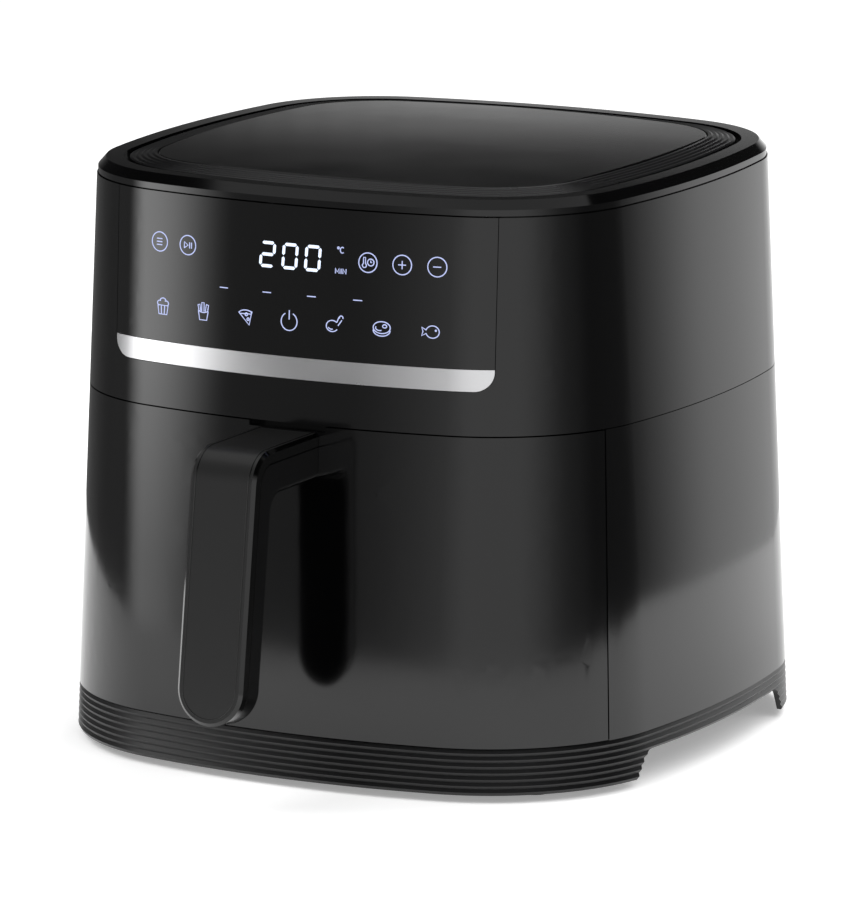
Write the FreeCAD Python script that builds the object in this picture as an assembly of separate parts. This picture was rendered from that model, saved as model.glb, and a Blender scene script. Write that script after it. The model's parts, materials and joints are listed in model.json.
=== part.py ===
import FreeCAD, Part
import math
import os

# An air fryer with a pull-out basket drawer, in millimetres, front towards -Y and up along +Z.
# Every piece is built about the vertical axis of the body and placed at the end.

# Body outline: eight tangent arcs, given at the underside of the base and at the top of the wall
base_half_width = 159.6
base_half_depth = 159.2
base_corner = 93.9
top_half_width = 146.1
top_half_depth = 145.5
top_corner = 73.4
front_sweep = math.radians(11.15)
side_sweep = math.radians(8.47)

# Heights of the outer shells and the gaps between them
foot_height = 4.0
base_height = 22.0
lower_height = 149.4
upper_height = 103.4
seam_gap = 0.4
seat = 0.2
housing_wall = 2.8

# Ribbed base with an arch in each side
ridge_count = 7
ridge_depth = 0.9
base_wall = 3.2
arch_height = 13.0
arch_half_length = 81.0
arch_corner = 10.0
arch_draft = 0.65
foot_inset = 24.0
foot_slope = 1.3
foot_radius = 10.0
foot_stem_radius = 3.0
foot_pad_radius = 21.0
foot_pad_height = 9.5
cover_thickness = 2.4
cover_slot_count = 9
cover_slot_width = 4.0
cover_slot_length = 60.0
cover_slot_pitch = 11.0
cover_screw_x = 70.0
cover_screw_y = 84.0

# Control panel and the bright strip below it
panel_half_width = 102.4
panel_height = 71.9
panel_thickness = 2.0
strip_height = 10.4
strip_corner = 9.0
panel_gap = 0.3
panel_ledge = 6.0

# Rim, ring and panel of the lid
rim_gap = 0.6
rim_band = 3.0
rim_band_inset = 0.6
rim_chamfer_height = 4.3
rim_chamfer_inset = 4.4
rim_land = 8.6
rim_lip_depth = 4.0
rim_ledge = 10.0
rim_skirt = 3.0
groove_width = 3.0
ring_width = 13.4
ring_rise = 2.0
ring_ridge_count = 5
ring_ridge_depth = 0.5
ring_crest = 0.4
ring_thickness = 2.2
lid_gap = 0.3
lid_edge_height = 1.2
lid_crown = 1.2

# Drawer front and the handle
drawer_gap = 0.7
drawer_wall = 2.8
drawer_edge_top = 93.4
drawer_edge_bottom = 98.2
notch_half_width = 20.5
notch_height = 2.4
notch_depth = 8.4
handle_half_width = 17.5
handle_arm_top = 172.6
handle_reach = 211.4
handle_lean = math.radians(7.9)
handle_bend = 17.0
handle_bottom = 44.5
handle_thickness = 20.0
handle_arm_thickness = 22.5
handle_inner_bend = 9.0
cover_plate = 6.2
cover_bevel = 1.6
grip_round = 4.0
parting_gap = 0.6
handle_screw_radius = 2.0
handle_screw_head = 4.0
handle_screw_depth = 12.0
handle_screw_x = 9.0
handle_screw_lift = 5.0

# Basket pan, its carrier frame and the crisper plate
pan_half = 112.0
pan_corner = 38.0
pan_centre_y = -8.0
pan_bottom = 36.0
pan_depth = 130.0
pan_draft = 6.0
pan_wall = 1.2
pan_lip = 6.0
pan_floor_round = 9.0
frame_width = 12.0
frame_height = 5.0
frame_flange_height = 30.0
frame_flange_half = 62.0
frame_flange_wall = 3.0
frame_screw_x = 46.0
frame_screw_radius = 1.8
frame_screw_head = 3.6
plate_height = 17.0
plate_thickness = 1.5
plate_rim = 5.0
plate_gap = 1.6
plate_hole_radius = 6.0
plate_hole_pitch = 34.0
plate_hole_rows = 5
bumper_thickness = 1.2
bumper_width = 16.0

# Drawer chamber inside the lower housing
liner_gap = 3.0
liner_wall = 0.8
liner_floor_gap = 5.0
guide_width = 9.0
guide_height = 4.0
guide_gap = 0.4
deck_lift = 0.8
deck_thickness = 2.0

# Heater chamber above the basket
reflector_radius = 108.0
reflector_height = 36.0
reflector_round = 18.0
reflector_wall = 0.8
reflector_flange = 9.0
guard_rings = 4
guard_wire = 2.4
guard_hub_radius = 14.0
guard_spokes = 6
coil_radius = 84.0
coil_step = 22.0
coil_tube = 3.2
coil_sides = 8
coil_drop = 22.0
coil_gap_half = math.radians(13.0)
coil_lead_rise = 14.0
insulator_radius = 6.0
insulator_height = 8.0
insulator_flange = 2.4
clip_width = 6.0
clip_thickness = 1.0

# Motor with a hot-air fan below the reflector and a cooling fan above it
shaft_radius = 3.0
shaft_fit = 0.05
shaft_clearance = 0.8
motor_radius = 29.0
motor_height = 26.0
motor_lift = 20.0
motor_vents = 6
bearing_radius = 8.0
bearing_height = 5.0
bracket_thickness = 2.0
bracket_half = 42.0
bracket_leg = 7.0
hot_fan_radius = 54.0
hot_fan_height = 12.0
hot_fan_blades = 8
hot_fan_gap = 5.0
cool_fan_radius = 46.0
cool_fan_height = 8.0
cool_fan_blades = 10
cool_fan_gap = 4.0
fan_sheet = 1.0
fan_hub_radius = 8.0
blade_sweep = 18.0
nut_across = 10.0
nut_height = 5.0

# Exhaust duct and the grille in the back
grille_half_width = 52.0
grille_height = 34.0
grille_low = 9.0
grille_slot_count = 6
grille_slot_height = 2.6
grille_border = 4.0
duct_wall = 1.2
duct_height = 17.0
duct_half_width = 42.0

# Boards, sensors and the drawer switch
board_thickness = 1.6
display_margin = 14.4
display_half_height = 27.0
display_reach = 6.0
module_half_width = 30.0
module_half_height = 12.0
spring_radius = 3.5
key_row_height = 53.0
food_row_height = 22.0
food_pitch = 24.1
side_key_first = 41.0
side_key_pitch = 17.2
bracket_tab = 5.0
food_keys = 7
power_half_depth = 40.0
power_half_height = 25.0
power_z = 232.0
power_set_back = 12.0
power_part_height = 12.0
power_part_margin = 4.0
relay_depth = 19.0
relay_height = 20.0
core_half = 11.0
can_radius = 6.0
standoff_radius = 3.5
cutout_radius = 8.0
cutout_height = 7.0
probe_radius = 2.5
probe_length = 16.0
probe_collar = 5.0
probe_collar_radius = 5.0
switch_width = 9.0
switch_depth = 20.0
switch_height = 12.0
plunger_radius = 2.2
plunger_reach = 5.0
plunger_travel = 1.5
switch_z = 140.0

# Mains lead gland in the back
gland_z = 46.0
gland_bore = 3.75
gland_radius = 7.0
gland_collar = 9.5
gland_collar_thickness = 2.5
gland_tail = 4.5

# Fasteners
screw_radius = 1.9
screw_head_radius = 3.8
screw_head_height = 2.4
screw_fit = 0.3

# Levels that follow from the heights
base_bottom = foot_height
base_top = base_bottom + base_height
lower_bottom = base_top + seam_gap
lower_top = lower_bottom + lower_height
upper_bottom = lower_top + seam_gap
wall_top = upper_bottom + upper_height
rim_bottom = wall_top + rim_gap
arch_top = base_bottom + arch_height
cover_bottom = arch_top + seat
cover_top = cover_bottom + cover_thickness
panel_bottom = wall_top - panel_height
strip_bottom = panel_bottom - strip_height
rim_top = rim_bottom + rim_band + rim_chamfer_height
rim_mouth = rim_chamfer_inset + rim_land
ledge_top = rim_top - rim_lip_depth
ring_inner = rim_mouth + groove_width + ring_width
lid_floor = ledge_top + seat + ring_thickness
lid_top = rim_top + ring_rise + lid_crown
drawer_bottom = base_top + drawer_gap
drawer_top = upper_bottom - drawer_gap
pan_top = pan_bottom + pan_depth
frame_top = pan_top - pan_wall - seat
frame_bottom = frame_top - frame_height
frame_half = pan_half + frame_width
liner_half = frame_half + liner_gap
liner_bottom = pan_bottom - liner_floor_gap - liner_wall
liner_front = drawer_gap - drawer_edge_top
liner_back = pan_centre_y + frame_half + liner_gap
deck_bottom = upper_bottom + deck_lift
deck_top = deck_bottom + deck_thickness
reflector_bottom = deck_top + seat
reflector_top = reflector_bottom + reflector_height
coil_z = reflector_top - coil_drop
bracket_bottom = reflector_top + motor_lift
motor_bottom = bracket_bottom + bracket_thickness + seat
motor_top = motor_bottom + motor_height
grille_bottom = upper_bottom + grille_low
grille_top = grille_bottom + grille_height
display_half_width = panel_half_width - display_margin
far = 4 * (base_half_width + base_half_depth)


def vec(x, y, z):
    return FreeCAD.Vector(x, y, z)


def outline_at(z):
    """Half width, half depth and corner radius of the wall at height z."""
    share = (z - base_bottom) / (wall_top - base_bottom)
    half_x = base_half_width + share * (top_half_width - base_half_width)
    half_y = base_half_depth + share * (top_half_depth - base_half_depth)
    corner = base_corner + share * (top_corner - base_corner)
    return half_x, half_y, corner


def arc_radii(half_x, half_y, corner):
    """Radii of the front and side arcs that run tangent into the corner arc."""
    front_sin = math.sin(front_sweep)
    front_cos = math.cos(front_sweep)
    side_sin = math.sin(side_sweep)
    side_cos = math.cos(side_sweep)
    across = corner * front_sin + half_x - corner * side_cos
    along = half_y - corner * front_cos + corner * side_sin
    scale = front_sin * side_sin - (1 - side_cos) * (1 - front_cos)
    front = (across * side_sin - (1 - side_cos) * along) / scale
    side = (front_sin * along - (1 - front_cos) * across) / scale
    return front, side


def section(z, inset, level=None):
    """Closed outline at height z, set in from the wall outline of the given level."""
    half_x, half_y, corner = outline_at(z if level is None else level)
    half_x -= inset
    half_y -= inset
    corner -= inset
    front, side = arc_radii(half_x, half_y, corner)
    centre_x = (front - corner) * math.sin(front_sweep)
    centre_y = front - half_y - (front - corner) * math.cos(front_sweep)
    middle = (front_sweep + math.pi / 2 - side_sweep) / 2
    front_end = (front * math.sin(front_sweep), front - half_y - front * math.cos(front_sweep))
    corner_mid = (centre_x + corner * math.sin(middle), centre_y - corner * math.cos(middle))
    side_end = (half_x - side + side * math.cos(side_sweep), -side * math.sin(side_sweep))

    def point(place, mirror_x, mirror_y):
        return vec(place[0] * mirror_x, place[1] * mirror_y, z)

    def arc(first, mid, last):
        return Part.Arc(first, mid, last).toShape()

    edges = []
    edges.append(arc(point(front_end, -1, 1), vec(0, -half_y, z), point(front_end, 1, 1)))
    edges.append(arc(point(front_end, 1, 1), point(corner_mid, 1, 1), point(side_end, 1, 1)))
    edges.append(arc(point(side_end, 1, 1), vec(half_x, 0, z), point(side_end, 1, -1)))
    edges.append(arc(point(side_end, 1, -1), point(corner_mid, 1, -1), point(front_end, 1, -1)))
    edges.append(arc(point(front_end, 1, -1), vec(0, half_y, z), point(front_end, -1, -1)))
    edges.append(arc(point(front_end, -1, -1), point(corner_mid, -1, -1), point(side_end, -1, -1)))
    edges.append(arc(point(side_end, -1, -1), vec(-half_x, 0, z), point(side_end, -1, 1)))
    edges.append(arc(point(side_end, -1, 1), point(corner_mid, -1, 1), point(front_end, -1, 1)))
    return Part.Wire(edges)


def front_y(x, z, inset):
    """Place of the front surface at x and z, set in by a distance, round to the corner arc."""
    half_x, half_y, corner = [size - inset for size in outline_at(z)]
    front = arc_radii(half_x, half_y, corner)[0]
    if abs(x) <= front * math.sin(front_sweep):
        return front - half_y - math.sqrt(front ** 2 - x ** 2)
    centre_x = (front - corner) * math.sin(front_sweep)
    centre_y = front - half_y - (front - corner) * math.cos(front_sweep)
    return centre_y - math.sqrt(corner ** 2 - (abs(x) - centre_x) ** 2)


def stack(levels, level=None):
    """Solid through a list of (height, inset) sections."""
    return Part.makeLoft([section(z, inset, level) for z, inset in levels], True, True)


def wall_shell(low, high, outer, inner):
    """Ring of wall between two insets."""
    return stack([(low, outer), (high, outer)]).cut(stack([(low, inner), (high, inner)]))


def box(low, high):
    """Box between two opposite corners."""
    size = high.sub(low)
    return Part.makeBox(size.x, size.y, size.z, low)


def cylinder(x, y, low, high, radius):
    return Part.makeCylinder(radius, high - low, vec(x, y, low))


def rod_y(x, z, front, back, radius):
    """Round bar along Y."""
    return Part.makeCylinder(radius, back - front, vec(x, front, z), vec(0, 1, 0))


def prism(points, along):
    """Solid swept from a closed polygon."""
    return Part.Face(Part.makePolygon(points + [points[0]])).extrude(along)


def plate_xz(low_z, high_z, half_width, lower_corner, front, back):
    """Upright plate with rounded lower corners, running from front to back along Y."""
    bar = box(vec(-half_width, front, low_z), vec(half_width, back, high_z))
    if lower_corner > 0:
        edges = []
        for edge in bar.Edges:
            middle = edge.CenterOfMass
            if abs(middle.z - low_z) < 1e-6 and abs(abs(middle.x) - half_width) < 1e-6:
                edges.append(edge)
        bar = bar.makeFillet(lower_corner, edges)
    return bar


def mirrored_x(shape):
    return shape.mirror(vec(0, 0, 0), vec(1, 0, 0))


def fused(shapes):
    """One solid from pieces that touch."""
    joined = shapes[0].multiFuse(shapes[1:])
    return joined.removeSplitter()


def edges_at(shape, height):
    """Edges along X whose middle lies at the given height."""
    found = []
    for edge in shape.Edges:
        along = edge.tangentAt(edge.FirstParameter)
        if abs(along.x) > 0.99 and abs(edge.CenterOfMass.z - height) < 1e-6:
            found.append(edge)
    return found


def corners(x, y):
    """The four places at plus and minus x and y."""
    return [(x * side, y * end) for side in (-1, 1) for end in (-1, 1)]


# Base
def foot_places():
    """Foot centres, on the middle of each corner arc and set in from the wall."""
    half_x, half_y, corner = outline_at(base_bottom)
    front = arc_radii(half_x, half_y, corner)[0]
    inward = (corner - foot_inset) * math.sqrt(0.5)
    x = (front - corner) * math.sin(front_sweep) + inward
    y = half_y - front + (front - corner) * math.cos(front_sweep) + inward
    return corners(x, y)


def arch_cut():
    """Bar across the base that leaves a round-cornered arch in each side."""
    top_half = arch_half_length - arch_draft * arch_height
    floor_half = arch_half_length + arch_draft * foot_height
    points = [vec(-far, -floor_half, 0), vec(-far, floor_half, 0)]
    points += [vec(-far, top_half, arch_top), vec(-far, -top_half, arch_top)]
    bar = prism(points, vec(2 * far, 0, 0))
    return bar.makeFillet(arch_corner, edges_at(bar, arch_top))


def base_skirt():
    """Ribbed ring with a pad over each foot."""
    pitch = base_height / ridge_count
    levels = [(base_bottom, ridge_depth)]
    for ridge in range(ridge_count):
        levels.append((base_bottom + (ridge + 0.5) * pitch, 0.0))
        levels.append((base_bottom + (ridge + 1) * pitch, ridge_depth))
    inner = stack([(base_bottom, base_wall), (base_top, base_wall)])
    ring = stack(levels).cut(inner)
    within = (ridge_depth + base_wall) / 2
    reach = stack([(base_bottom, within), (arch_top, within)])
    pads = []
    for x, y in foot_places():
        pad = cylinder(x, y, base_bottom, arch_top, foot_pad_radius).common(reach)
        socket = cylinder(x, y, base_bottom, base_bottom + foot_pad_height, foot_stem_radius + seat)
        pads.append(pad.cut(socket))
    return fused([ring] + pads).cut(arch_cut())


def rubber_feet():
    feet = []
    for x, y in foot_places():
        button = Part.makeCone(foot_radius - foot_slope, foot_radius, foot_height, vec(x, y, 0))
        stem = cylinder(x, y, foot_height, base_bottom + foot_pad_height - seat, foot_stem_radius)
        feet.append(button.fuse(stem))
    return Part.makeCompound(feet)


def bottom_cover():
    """Floor plate with vent slots and the posts that carry the drawer chamber."""
    inset = base_wall + seat
    plate = stack([(cover_bottom, inset), (cover_top, inset)])
    parts = [plate]
    for x, y in corners(cover_screw_x, cover_screw_y):
        parts.append(cylinder(x, y, cover_bottom, liner_bottom - seat, screw_head_radius + housing_wall))
    plate = fused(parts)
    for x, y in corners(cover_screw_x, cover_screw_y):
        plate = plate.cut(cylinder(x, y, cover_bottom, liner_bottom, screw_radius + screw_fit))
    slots = []
    for slot in range(cover_slot_count):
        x = (slot - (cover_slot_count - 1) / 2) * cover_slot_pitch
        low = vec(x - cover_slot_width / 2, -cover_slot_length / 2, cover_bottom)
        slots.append(box(low, vec(x + cover_slot_width / 2, cover_slot_length / 2, cover_top)))
    return plate.cut(Part.makeCompound(slots))


def cover_screws():
    """Screws up through the posts into the floor of the drawer chamber."""
    screws = []
    for x, y in corners(cover_screw_x, cover_screw_y):
        head = cylinder(x, y, cover_bottom - screw_head_height, cover_bottom, screw_head_radius)
        shank = cylinder(x, y, cover_bottom, liner_bottom + liner_floor_gap / 2, screw_radius)
        screws.append(head.fuse(shank))
    return Part.makeCompound(screws)


# Housings
def edge_y(z):
    """Place of the drawer's side edge at height z."""
    share = (z - lower_bottom) / (lower_top - lower_bottom)
    return -(drawer_edge_bottom + share * (drawer_edge_top - drawer_edge_bottom))


def drawer_region(back):
    """Everything in front of the drawer's side edge, moved back by a distance."""
    low = lower_bottom - base_height
    high = lower_top + base_height
    points = [vec(-far, -far, low), vec(-far, edge_y(low) + back, low)]
    points += [vec(-far, edge_y(high) + back, high), vec(-far, -far, high)]
    return prism(points, vec(2 * far, 0, 0))


def lower_housing():
    """Sides and back of the drawer chamber, with a jamb beside the drawer opening."""
    shell = wall_shell(lower_bottom, lower_top, 0.0, housing_wall)
    inside = stack([(lower_bottom, housing_wall / 2), (lower_top, housing_wall / 2)])
    jamb = inside.common(drawer_region(housing_wall)).cut(drawer_region(0.0))
    opening = liner_half + liner_wall + seat
    jamb = jamb.cut(box(vec(-opening, -far, 0), vec(opening, far, lower_top)))
    housing = fused([shell.cut(drawer_region(0.0)), jamb])
    housing = housing.cut(plunger_bore(seat))
    return housing.cut(rod_y(0, gland_z, 0, far, gland_radius + seat))


def upper_housing():
    """Ring above the drawer with a pocket for the control panel and an opening for the grille."""
    shell = wall_shell(upper_bottom, wall_top, 0.0, housing_wall)
    depth = panel_thickness + seat
    skin = wall_shell(upper_bottom, wall_top, -housing_wall, depth)
    pocket = plate_xz(strip_bottom - panel_gap, wall_top + rim_gap, panel_half_width + panel_gap,
                      strip_corner + panel_gap, -far, 0)
    window = plate_xz(strip_bottom + panel_ledge, wall_top - panel_ledge, panel_half_width - panel_ledge,
                      strip_corner, -far, 0)
    exhaust = box(vec(-grille_half_width - seat, 0, grille_bottom - seat),
                  vec(grille_half_width + seat, far, grille_top + seat))
    return shell.cut(skin.common(pocket)).cut(window).cut(exhaust)


# Control panel
def control_panel():
    """Glossy touch panel, flush with the wall."""
    skin = wall_shell(panel_bottom + seat, wall_top, 0.0, panel_thickness)
    return skin.common(plate_xz(panel_bottom, wall_top, panel_half_width, 0.0, -far, 0))


def trim_strip():
    """Bright strip along the foot of the panel, with its lower corners round."""
    skin = wall_shell(strip_bottom - panel_gap, panel_bottom + panel_gap, 0.0, panel_thickness)
    return skin.common(plate_xz(strip_bottom, panel_bottom, panel_half_width, strip_corner, -far, 0))


# Lid
def top_rim():
    """Chamfered rim with a lip that drops into the wall and a ledge for the lid ring."""
    rings = [(rim_bottom, rim_band_inset), (rim_bottom + rim_band, rim_band_inset)]
    rim = stack(rings + [(rim_top, rim_chamfer_inset)], wall_top)
    mouth = stack([(ledge_top, rim_mouth), (rim_top, rim_mouth)], wall_top)
    hole = stack([(rim_bottom, rim_mouth + rim_ledge), (ledge_top, rim_mouth + rim_ledge)], wall_top)
    outer = housing_wall + seat
    low = wall_top - rim_skirt
    lip = stack([(low, outer), (rim_bottom + rim_band / 2, outer)], wall_top)
    lip = lip.cut(stack([(low, outer + housing_wall), (rim_top, outer + housing_wall)], wall_top))
    front = box(vec(-panel_half_width, -far, low), vec(panel_half_width, 0, rim_bottom))
    return fused([rim.cut(mouth).cut(hole), lip.cut(front)])


def lid_ring():
    """Sloping ring of fine ridges that carries the lid panel."""
    pitch = ring_width / ring_ridge_count
    rise = ring_rise / ring_ridge_count
    outer = rim_mouth + groove_width
    levels = [(ledge_top + seat, outer), (rim_top - ring_ridge_depth, outer)]
    for ridge in range(ring_ridge_count + 1):
        crest = rim_top + ridge * rise
        levels.append((crest, outer + (ridge + ring_crest) * pitch))
        levels.append((crest + rise - ring_ridge_depth, outer + (ridge + 1.0) * pitch))
    ring = stack(levels, wall_top)
    pocket = stack([(lid_floor, ring_inner), (lid_top, ring_inner)], wall_top)
    hole = stack([(ledge_top, ring_inner + rim_ledge), (lid_top, ring_inner + rim_ledge)], wall_top)
    return ring.cut(pocket).cut(hole)


def lid_panel():
    """Slightly crowned panel with a bevelled edge."""
    inset = ring_inner + lid_gap
    edge = rim_top + ring_rise
    half = top_half_width - inset
    crown_radius = (half * half + lid_crown * lid_crown) / (2 * lid_crown)
    blank = [(lid_floor + seat, inset), (edge - lid_edge_height, inset)]
    blank.append((edge + lid_crown, inset + lid_edge_height + lid_crown))
    ball = Part.makeSphere(crown_radius, vec(0, 0, edge + lid_crown - crown_radius))
    return stack(blank, wall_top).common(ball)


# Drawer chamber
def round_wire(half, corner, z):
    """Square with round corners about the pan's middle."""
    edges = []
    straight = half - corner
    for quarter in range(4):
        turn = quarter * math.pi / 2

        def place(x, y):
            return vec(x * math.cos(turn) - y * math.sin(turn),
                       pan_centre_y + x * math.sin(turn) + y * math.cos(turn), z)

        edges.append(Part.LineSegment(place(half, -straight), place(half, straight)).toShape())
        slant = straight + corner * math.sqrt(0.5)
        bend = Part.Arc(place(half, straight), place(slant, slant), place(straight, half))
        edges.append(bend.toShape())
    return Part.Wire(edges)


def carrier_block(margin, front, low, high):
    """Block round the drawer frame with a margin, square in front and round at its back corners."""
    half = frame_half + margin
    ring = Part.Face(round_wire(half, pan_corner + frame_width + margin, low))
    back = ring.extrude(vec(0, 0, high - low))
    block = fused([back, box(vec(-half, front, low), vec(half, pan_centre_y, high))])
    return block.common(box(vec(-far, front, low), vec(far, far, high)))


def chamber_liner():
    """Sheet tray around the drawer, open at the front and the top, with vents high in its back."""
    outer = carrier_block(liner_gap + liner_wall, liner_front, liner_bottom, deck_bottom - seat)
    inner = carrier_block(liner_gap, liner_front, liner_bottom + liner_wall, deck_bottom)
    tray = outer.cut(inner)
    for x, y in corners(cover_screw_x, cover_screw_y):
        tray = tray.cut(cylinder(x, y, liner_bottom, pan_bottom, screw_radius + seat))
    vents = box(vec(-duct_half_width, liner_back, pan_top),
                vec(duct_half_width, far, deck_bottom - guide_height))
    return tray.cut(vents)


def drawer_guides():
    """Rails on the chamber walls that carry the drawer frame."""
    high = frame_bottom - guide_gap
    back = pan_centre_y + frame_half - frame_width - pan_corner
    low = vec(frame_half - guide_width, liner_front, high - guide_height)
    rail = box(low, vec(liner_half - seat, back, high))
    return Part.makeCompound([rail, mirrored_x(rail)])


def chamber_deck():
    """Plate that closes the chamber, with the heater opening and the exhaust opening."""
    inset = housing_wall + seat
    plate = stack([(deck_bottom, inset), (deck_top, inset)])
    plate = plate.cut(cylinder(0, pan_centre_y, deck_bottom, deck_top, reflector_radius))
    return plate.cut(duct_block(duct_wall))


def duct_block(margin):
    """Inside of the exhaust duct, shrunk by a margin, from below the deck to the back wall."""
    front = pan_centre_y + reflector_radius + reflector_flange + seat
    low = vec(-duct_half_width + margin, front + margin, deck_bottom)
    return box(low, vec(duct_half_width - margin, far, grille_bottom + duct_height - margin))


def exhaust_duct():
    """Hood that leads air up through the deck and out at the grille."""
    inset = housing_wall + seat
    hood = duct_block(0.0).cut(duct_block(duct_wall))
    hood = hood.cut(box(vec(-far, 0, 0), vec(far, far, deck_top + seat)))
    return hood.common(stack([(deck_bottom, inset), (wall_top, inset)]))


def rear_grille():
    """Louvred plate set into the back wall."""
    wall = wall_shell(grille_bottom, grille_top, 0.0, housing_wall)
    plate = wall.common(box(vec(-grille_half_width, 0, 0), vec(grille_half_width, far, wall_top)))
    pitch = (grille_height - 2 * grille_border) / grille_slot_count
    half = grille_half_width - grille_border
    slots = []
    for slot in range(grille_slot_count):
        middle = grille_bottom + grille_border + (slot + 0.5) * pitch
        low = vec(-half, 0, middle - grille_slot_height / 2)
        slots.append(box(low, vec(half, far, middle + grille_slot_height / 2)))
    return plate.cut(Part.makeCompound(slots))


def cord_gland():
    """Round gland in the back wall that the mains lead passes through."""
    wall = outline_at(gland_z)[1]
    body = rod_y(0, gland_z, wall - housing_wall - gland_tail, wall + gland_collar_thickness, gland_radius)
    collar = rod_y(0, gland_z, wall, wall + gland_collar_thickness, gland_collar)
    nut = rod_y(0, gland_z, wall - housing_wall - gland_tail, wall, gland_collar)
    skin = wall_shell(lower_bottom, lower_top, -seat, housing_wall + seat)
    wire = rod_y(0, gland_z, 0, far, gland_bore)
    return fused([body, collar.cut(skin), nut.cut(skin)]).cut(wire)


# Heater chamber
def heat_reflector():
    """Round sheet dome with a flange on the deck and holes for the shaft, leads, probe and clips."""
    top = reflector_top
    rim = reflector_radius + reflector_flange
    inner = reflector_radius - reflector_wall
    bend = reflector_wall * math.tan(math.pi / 8)
    profile = [(rim, reflector_bottom), (rim, reflector_bottom + reflector_wall)]
    profile += [(reflector_radius, reflector_bottom + reflector_wall)]
    profile += [(reflector_radius, top - reflector_round)]
    profile += [(reflector_radius - reflector_round, top), (0, top), (0, top - reflector_wall)]
    profile += [(reflector_radius - reflector_round - bend, top - reflector_wall)]
    profile += [(inner, top - reflector_round - bend), (inner, reflector_bottom)]
    loop = [vec(radius, 0, z) for radius, z in profile]
    dome = Part.Face(Part.makePolygon(loop + [loop[0]])).revolve(vec(0, 0, 0), vec(0, 0, 1), 360)
    dome.translate(vec(0, pan_centre_y, 0))
    holes = [cylinder(0, pan_centre_y, reflector_bottom, top, shaft_radius + shaft_clearance)]
    for x, y in coil_ends():
        holes.append(cylinder(x, y, reflector_bottom, top, insulator_radius + seat))
    x, y = probe_place()
    holes.append(cylinder(x, y, coil_z, top, probe_radius + seat))
    return dome.cut(Part.makeCompound(holes))


def probe_place():
    """Place of the temperature probe, between the two turns of the element."""
    reach = (coil_radius - coil_step / 2) * math.sqrt(0.5)
    return -reach, pan_centre_y + reach


def coil_ends():
    """Places of the two heater leads."""
    ends = []
    for radius in (coil_radius, coil_radius - coil_step):
        ends.append((radius * math.cos(coil_gap_half), pan_centre_y + radius * math.sin(coil_gap_half)))
    return ends


def coil_arc(centre, radius, start, sweep):
    """Stretch of many-sided tube turned about an upright axis."""
    begin = vec(centre.x + radius * math.cos(start), centre.y + radius * math.sin(start), centre.z)
    outward = vec(math.cos(start), math.sin(start), 0)
    ring = []
    for side in range(coil_sides):
        turn = (side + 0.5) * 2 * math.pi / coil_sides
        rise = vec(0, 0, coil_tube * math.sin(turn))
        ring.append(begin.add(outward * (coil_tube * math.cos(turn))).add(rise))
    face = Part.Face(Part.makePolygon(ring + [ring[0]]))
    return face.revolve(centre, vec(0, 0, 1), math.degrees(sweep))


def heater_coil():
    """Two-turn tubular element with a link at one end and a lead up from the other."""
    centre = vec(0, pan_centre_y, coil_z)
    sweep = 2 * math.pi - 2 * coil_gap_half
    middle = coil_radius - coil_step / 2
    link = vec(middle * math.cos(coil_gap_half), pan_centre_y - middle * math.sin(coil_gap_half), coil_z)
    parts = [coil_arc(centre, coil_radius, coil_gap_half, sweep)]
    parts.append(coil_arc(centre, coil_radius - coil_step, coil_gap_half, sweep))
    parts.append(coil_arc(link, coil_step / 2, math.pi - coil_gap_half, math.pi))
    for x, y in coil_ends():
        parts.append(Part.makeSphere(coil_tube, vec(x, y, coil_z)))
        parts.append(cylinder(x, y, coil_z, reflector_top + coil_lead_rise, coil_tube))
    return fused(parts)


def heater_insulators():
    """Ceramic bushes that carry the leads through the dome."""
    bushes = []
    for x, y in coil_ends():
        low = reflector_top - insulator_height / 2
        body = cylinder(x, y, low, low + insulator_height, insulator_radius)
        brim = insulator_radius + insulator_flange
        flange = cylinder(x, y, reflector_top + seat, low + insulator_height, brim)
        bushes.append(body.fuse(flange).cut(cylinder(x, y, low, low + insulator_height, coil_tube + seat)))
    return Part.makeCompound(bushes)


def heater_clips():
    """Straps from the dome that hold both turns of the element from below."""
    under = coil_z - coil_tube - seat
    middle = coil_radius - coil_step / 2
    reach = coil_step / 2 + coil_tube
    strap = box(vec(middle - clip_thickness / 2, -clip_width / 2, under - clip_thickness),
                vec(middle + clip_thickness / 2, clip_width / 2, reflector_top - reflector_wall - seat))
    bar = box(vec(middle - reach, -clip_width / 2, under - clip_thickness),
              vec(middle + reach, clip_width / 2, under))
    clips = []
    for quarter in (1, 2, 3):
        clip = strap.fuse(bar).removeSplitter()
        clip.rotate(vec(0, 0, 0), vec(0, 0, 1), quarter * 90)
        clip.translate(vec(0, pan_centre_y, 0))
        clips.append(clip)
    return Part.makeCompound(clips)


def fan_guard():
    """Flat grid of rings and spokes below the element."""
    outer = reflector_radius - reflector_wall - seat
    step = (outer - guard_hub_radius) / guard_rings
    low = reflector_bottom
    high = low + guard_wire
    parts = []
    for ring in range(guard_rings + 1):
        radius = guard_hub_radius + ring * step
        disc = cylinder(0, pan_centre_y, low, high, radius)
        parts.append(disc.cut(cylinder(0, pan_centre_y, low, high, radius - guard_wire)))
    for spoke in range(guard_spokes):
        bar = box(vec(guard_hub_radius - guard_wire / 2, -guard_wire / 2, low),
                  vec(outer - guard_wire / 2, guard_wire / 2, high))
        bar.rotate(vec(0, 0, 0), vec(0, 0, 1), spoke * 360 / guard_spokes)
        bar.translate(vec(0, pan_centre_y, 0))
        parts.append(bar)
    return fused(parts)


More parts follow.
